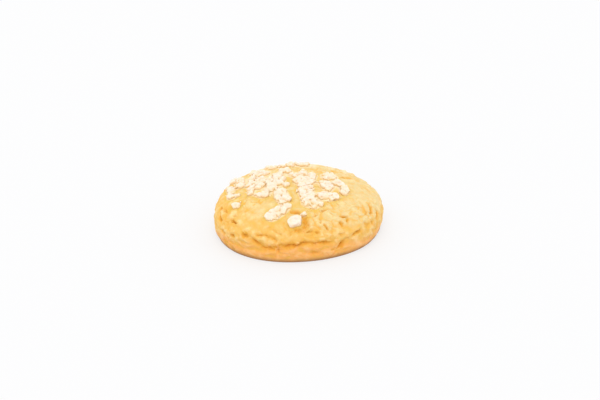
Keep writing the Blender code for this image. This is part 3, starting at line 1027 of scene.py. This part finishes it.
PATCH_ROWS = (  # the start, end, width and count of each
    ((-27, 9.5), (-21.5, 4.5), 2.2, 4),
    ((-27.5, 3), (-25.4, -8.8), 1.2, 5),
    ((-24.5, 1.5), (-20.4, -0.8), 2, 3),
    ((-22.9, -8.6), (-22.8, -8.6), 0.2, 1),
    ((-23.2, -14.7), (-23, -14.7), 0.2, 1),
    ((-17.8, -9.6), (-18.5, 7), 2.2, 8),
    ((-15.6, -11.8), (-11.8, -9.8), 2, 3),
    ((-11.4, -8.8), (-9.8, -2.4), 2.4, 4),
    ((-15.6, -6), (-15.6, 4), 3, 6),
    ((-12.8, -5), (-12.2, 3), 2.2, 4),
    ((-17.3, 13.6), (-14, 7.2), 4, 6),
    ((-9, 7.4), (-7.3, -3.6), 2.8, 7),
    ((-7, 10.6), (-5, 8.8), 2, 2),
    ((-5.4, -4.8), (-3.4, -5.8), 1, 2),
    ((-7.4, -8.6), (-5.6, -17.6), 3, 7),
    ((-3.5, -19.7), (-11.3, -24.9), 2.6, 8),
    ((1.5, -23.6), (1.6, -23.5), 0.2, 1),
    ((-2.6, 6.6), (-0.4, 1.4), 2.6, 4),
    ((0, 0.4), (0.8, -3.6), 3, 4),
    ((0.8, 8.8), (2.6, 4.2), 1.6, 3),
    ((4.3, 4.6), (3.1, -4.6), 1.6, 5),
    ((2, -5.4), (3.4, -19.6), 3.6, 13),
    ((5.8, -17.2), (8.2, -18), 2.2, 3),
    ((9.4, 4), (13.4, 4.8), 4.4, 7),
    ((8.6, -1.6), (11.6, -7.4), 2.6, 5),
    ((12.2, -3.8), (14.6, -0.2), 1.2, 2),
    ((16.2, -1.4), (16.6, -9.2), 1.6, 4),
    ((7.3, -12), (13.2, -13), 2.6, 6),
    ((-13, 19), (4, 19.5), 7, 8),
)
PATCHES = tuple(Patch(*row) for row in PATCH_ROWS)


@dataclass
class SugarNibs:
    """The nibs of sugar on the crown, one mesh of many lumps."""

    profile: DomeProfile = DomeProfile()
    finish: NibSugar = NibSugar()
    seed: int = 23
    length: Pair = (2.8 * MM, 4.0 * MM)
    width_share: Pair = (0.72, 0.95)
    thickness_share: Pair = (0.52, 0.75)
    sunk_share: float = 0.42
    lean: float = math.radians(24)
    spacing: float = 1.95 * MM
    step_part: Pair = (0.2, 0.8)  # where in its own step along a patch a nib may be
    tries: int = 30
    largest: Nib = Nib(-1.5 * MM, -27.1 * MM, (5.6 * MM, 4.6 * MM, 4.3 * MM), (0.2, -0.1, 0.3))

    shapes: int = 7
    facets: int = 9
    ball_radius: float = 0.56  # of a lump that is 1 across, as are the next two
    facet_distance: Pair = (0.36, 0.45)
    lump_voxel: float = 0.06
    facet_tilt: float = 0.3
    voxel: float = 0.22 * MM
    grain_size: float = 0.9 * MM
    grain_height: float = 0.30 * MM
    filling: int = 24  # how many rounds of smoothing fill the crevices
    crevice_depth: float = 0.12 * MM
    crevice_cut: float = 0.12 * MM
    soak_height: float = 0.8 * MM

    def scatter(self) -> list[Nib]:
        """Spreads the nibs evenly along every patch, kept apart from each other.

        Returns:
            The nibs, the largest first.
        """
        draw = random.Random(self.seed)
        nibs = [self.largest]
        for patch in PATCHES:
            start, end = (Vector([c * MM for c in place]) for place in (patch.start, patch.end))
            side = (end - start).normalized().orthogonal()
            for index in range(patch.count):
                for _ in range(self.tries):
                    share = (index + draw.uniform(*self.step_part)) / patch.count
                    offset = patch.width * MM * (draw.random() - 0.5)
                    place = start.lerp(end, share) + side * offset
                    if all(math.dist(place, (nib.x, nib.y)) > self.spacing for nib in nibs):
                        nibs.append(self._random_nib(draw, place.x, place.y))
                        break
        return nibs

    def build(self, surface: BVHTree, nibs: list[Nib]) -> tuple[Piece, list[Vector]]:
        """Builds the nibs on the dough.

        Args:
            surface: The dough's surface.
            nibs: The nibs.

        Returns:
            The piece, named nib_sugar, and the place of each nib on the dough.
        """
        shapes = [self._lump(index) for index in range(self.shapes)]
        draw = random.Random(self.seed + 1)
        feet, copies = [], []
        for index, nib in enumerate(nibs):
            height = self.profile.height_at(nib.x, nib.y)
            foot, up, _, _ = surface.find_nearest((nib.x, nib.y, height))
            feet.append(foot)
            copy = shapes[index % self.shapes].copy()
            copy.data = copy.data.copy()
            bpy.context.collection.objects.link(copy)
            spin = Quaternion((0, 0, 1), draw.choice((0.0, math.pi)))
            stand = up.to_track_quat("Z", "Y").to_matrix() @ Euler(nib.turn).to_matrix()
            middle = foot + up * nib.size[2] * (0.5 - self.sunk_share)
            place = Matrix.Translation(middle) @ stand.to_4x4() @ Matrix.Diagonal((*nib.size, 1.0))
            copy.data.transform(place @ spin.to_matrix().to_4x4())
            copies.append(copy)
        for shape in shapes:
            bpy.data.objects.remove(shape)
        return join_pieces(copies, "nib_sugar"), feet

    def weld(self, piece: Piece, surface: BVHTree) -> None:
        """Melts lumps that overlap into each other, with their grains raised a little.

        Args:
            piece: The nibs together with the fine sugar between them.
            surface: The dough's surface.
        """
        grains = bpy.data.textures.new("sugar_grains", "CLOUDS")
        grains.noise_scale = self.grain_size
        grains.noise_depth = 1
        apply_modifier(piece, "REMESH", mode="VOXEL", voxel_size=self.voxel)
        apply_modifier(piece, "SMOOTH", factor=0.5, iterations=1)
        apply_modifier(
            piece, "DISPLACE", texture=grains, strength=self.grain_height, mid_level=0.5
        )
        bpy.ops.object.shade_smooth()
        self._deepen_crevices(piece)
        away = np.array([surface.find_nearest(vertex.co)[3] for vertex in piece.data.vertices])
        soaked = smooth_step(1.2 - away / self.soak_height)  # in full for a fifth of that height
        mark_points(piece.data, Mark.SOAKED, soaked)

    def dress(self, piece: Piece, material: bpy.types.Material) -> None:
        """Gives a piece of sugar the material that its pieces share."""
        finish_piece(piece, material)

    def _deepen_crevices(self, piece: Piece) -> None:
        """Finds the crevices between lumps, which smoothing would fill, and cuts them deeper.

        Args:
            piece: The welded nibs.
        """
        filled = piece.copy()
        filled.data = piece.data.copy()
        bpy.context.collection.objects.link(filled)
        apply_modifier(filled, "SMOOTH", factor=0.5, iterations=self.filling)
        points = read_rows(piece.data.vertices, "co")
        normals = read_rows(piece.data.vertex_normals, "vector")
        sunk = ((read_rows(filled.data.vertices, "co") - points) * normals).sum(axis=1)
        bpy.data.objects.remove(filled)
        # how deep in a crevice each vertex is: it is cut deeper there and gets painted shade
        crevice = smooth_step(sunk / self.crevice_depth)
        write_points(piece.data, points - normals * (self.crevice_cut * crevice)[:, None])
        mark_points(piece.data, Mark.CREVICE, crevice)

    def _random_nib(self, draw: random.Random, x: float, y: float) -> Nib:
        """Draws a nib of random size, turned about the vertical and leaning a little.

        Args:
            draw: The random draw.
            x: The nib's place, seen from above.
            y: Its other coordinate.

        Returns:
            The nib.
        """
        length = draw.uniform(*self.length)
        width = length * draw.uniform(*self.width_share)
        thickness = length * draw.uniform(*self.thickness_share)
        lean = (draw.uniform(-self.lean, self.lean), draw.uniform(-self.lean, self.lean))
        return Nib(x, y, (length, width, thickness), (*lean, draw.uniform(0.0, math.tau)))

    def _lump(self, index: int) -> Piece:
        """Models one lump: a ball cut flat on every side, its edges worn.

        Args:
            index: Which of the shapes it is.

        Returns:
            The lump, about 1 across.
        """
        draw = random.Random(self.seed + 100 + index)
        deselect_all()
        bpy.ops.mesh.primitive_ico_sphere_add(subdivisions=4, radius=self.ball_radius)
        lump = bpy.context.object
        bpy.ops.object.mode_set(mode="EDIT")
        for side in range(self.facets):
            normal = Vector([draw.gauss(0, 1) for _ in range(3)]).normalized()
            if side < 6:  # the first six are roughly square to each other
                square = Vector([float(axis == side % 3) for axis in range(3)])
                normal = (square * (-1) ** (side // 3) + self.facet_tilt * normal).normalized()
            bpy.ops.mesh.select_all(action="SELECT")
            bpy.ops.mesh.bisect(
                plane_co=normal * draw.uniform(*self.facet_distance),
                plane_no=normal,
                use_fill=True,
                clear_outer=True,
            )
        bpy.ops.object.mode_set(mode="OBJECT")
        apply_modifier(lump, "REMESH", mode="VOXEL", voxel_size=self.lump_voxel)
        apply_modifier(lump, "SMOOTH", factor=0.5, iterations=1)
        return lump


@dataclass
class SugarFragments:
    """Small angular pieces of sugar that lie round the nibs."""

    name: str
    seed: int
    a_nib: int  # how many of them are tried round each nib
    size: Pair
    distance: Pair  # from the nib's middle
    neighbours: int = 0  # how many other nibs have to lie close by
    close_by: float = 2.5 * MM
    sunk_share: float = 0.3
    width_share: Pair = (0.65, 1.0)
    thickness_share: Pair = (0.5, 0.85)
    dent: float = 0.45  # how deep they are dented
    dents_across: float = 2.4
    ball_radius: float = 0.55
    sharp_angle: float = math.radians(50)
    profile: DomeProfile = DomeProfile()

    def build(self, surface: BVHTree, nibs: list[Nib]) -> Piece:
        """Builds the fragments on the dough.

        Args:
            surface: The dough's surface.
            nibs: The nibs that they lie round.

        Returns:
            The piece.
        """
        deselect_all()
        bpy.ops.mesh.primitive_ico_sphere_add(subdivisions=1, radius=self.ball_radius)
        piece = bpy.context.object
        piece.name = self.name
        ball = [vertex.co.copy() for vertex in piece.data.vertices]
        sides = [tuple(polygon.vertices) for polygon in piece.data.polygons]
        draw = random.Random(self.seed)
        corners, faces = [], []
        for nib in nibs:
            for _ in range(self.a_nib):
                angle = draw.uniform(0.0, math.tau)
                away = draw.uniform(*self.distance)
                x, y = nib.x + away * math.cos(angle), nib.y + away * math.sin(angle)
                near = sum(math.dist((x, y), (n.x, n.y)) < self.close_by for n in nibs) - 1
                if near >= self.neighbours:
                    foot, up, _, _ = surface.find_nearest((x, y, self.profile.height_at(x, y)))
                    faces += [[len(corners) + corner for corner in side] for side in sides]
                    corners += self._chip(ball, draw, foot, up)
        piece.data = bpy.data.meshes.new(self.name)
        piece.data.from_pydata(corners, [], faces)
        bpy.ops.object.shade_smooth_by_angle(angle=self.sharp_angle)
        return piece

    def _chip(
        self, ball: list[Vector], draw: random.Random, foot: Vector, up: Vector
    ) -> list[Vector]:
        """Knocks one fragment out of a ball.

        Args:
            ball: The ball's corners.
            draw: The random draw.
            foot: Where the fragment lies on the dough.
            up: The dough's normal there.

        Returns:
            The fragment's corners.
        """
        length = draw.uniform(*self.size)
        width = length * draw.uniform(*self.width_share)
        thickness = length * draw.uniform(*self.thickness_share)
        turn = Euler([draw.uniform(0.0, math.tau) for _ in range(3)]).to_matrix()
        stand = up.to_track_quat("Z", "Y").to_matrix() @ turn
        shift = Vector([draw.uniform(0, 50) for _ in range(3)])  # each is dented in its own way
        middle = foot + up * length * (0.5 - self.sunk_share)
        corners = []
        for corner in ball:
            dented = corner * (1 + self.dent * noise.noise(corner * self.dents_across + shift))
            corners.append(middle + stand @ (dented * Vector((length, width, thickness))))
        return corners


# ---- the studio


@dataclass
class Studio:
    """A plain pale floor, soft light from all round and a camera."""

    finish: LitBoard = LitBoard()
    floor_size: float = 4.0
    sky: str = "FFFFFF"
    sky_strength: float = 1.11
    key_strength: float = 0.78
    key_spread: float = math.radians(50)
    key_elevation: float = math.radians(58)
    key_azimuth: float = math.radians(-98)
    lens: float = 42.3
    nearest_view: float = 10.0 * MM
    distance: float = 277.4 * MM
    elevation: float = math.radians(27)
    aim_up: float = math.radians(1.847)
    aim_right: float = math.radians(0.020)

    def build(self) -> None:
        """Lays the floor and sets up the light and the camera."""
        self._lay_floor()
        self._light()
        self._point_camera()

    def _lay_floor(self) -> None:
        """Lays a flat board under the biscuit."""
        deselect_all()
        bpy.ops.mesh.primitive_plane_add(size=self.floor_size)
        floor = bpy.context.object
        floor.name = floor.data.name = "floor"
        floor.data.materials.append(self.finish.material())

    def _light(self) -> None:
        """Lights the scene with a white dome and one wide, soft key light from the front."""
        world = bpy.data.worlds.new("soft_dome")
        world.use_nodes = True
        dome = world.node_tree.nodes["Background"]
        dome.inputs["Color"].default_value = linear(self.sky)
        dome.inputs["Strength"].default_value = self.sky_strength
        bpy.context.scene.world = world
        bpy.ops.object.light_add(type="SUN")
        key = bpy.context.object
        key.name = "key_light"
        key.data.energy = self.key_strength
        key.data.angle = self.key_spread
        side, up = self.key_azimuth, self.key_elevation
        towards = Vector((math.cos(side), math.sin(side), math.tan(up)))
        key.rotation_euler = towards.to_track_quat("Z", "Y").to_euler()

    def _point_camera(self) -> None:
        """Stands the camera in front of the biscuit and a little above it."""
        back = Vector((0.0, -math.cos(self.elevation), math.sin(self.elevation)))
        bpy.ops.object.camera_add(location=back * self.distance)
        camera = bpy.context.object
        camera.data.lens = self.lens
        camera.data.clip_start = self.nearest_view
        tilt = math.pi / 2 - self.elevation + self.aim_up
        camera.rotation_euler = (tilt, 0.0, -self.aim_right)
        bpy.context.scene.camera = camera
        bpy.context.scene.view_settings.view_transform = "Standard"


def main() -> None:
    """Builds the biscuit and the studio, and logs the triangle count of each piece of the looks."""
    logging.basicConfig(level=logging.INFO, format="%(name)s: %(message)s")
    Studio().build()
    dome = DoughDome()
    dough = dome.build()
    surface = BVHTree.FromObject(dough, bpy.context.evaluated_depsgraph_get())
    sugar = SugarNibs()
    nibs = sugar.scatter()
    lumps, feet = sugar.build(surface, nibs)
    fines = SugarFragments(
        "sugar_fines", 71, 4, size=(0.9 * MM, 1.6 * MM), distance=(1.1 * MM, 2.1 * MM), neighbours=1
    )
    crumbs = SugarFragments(
        "sugar_crumbs", 72, 1, size=(0.3 * MM, 0.7 * MM), distance=(1.6 * MM, 2.6 * MM)
    )
    dome.dress(dough, feet)
    lumps = join_pieces([lumps, fines.build(surface, nibs)], "nib_sugar")
    sugar.weld(lumps, surface)
    white = sugar.finish.material()
    for piece in (lumps, crumbs.build(surface, nibs)):
        sugar.dress(piece, white)


if __name__ == "__main__":
    main()
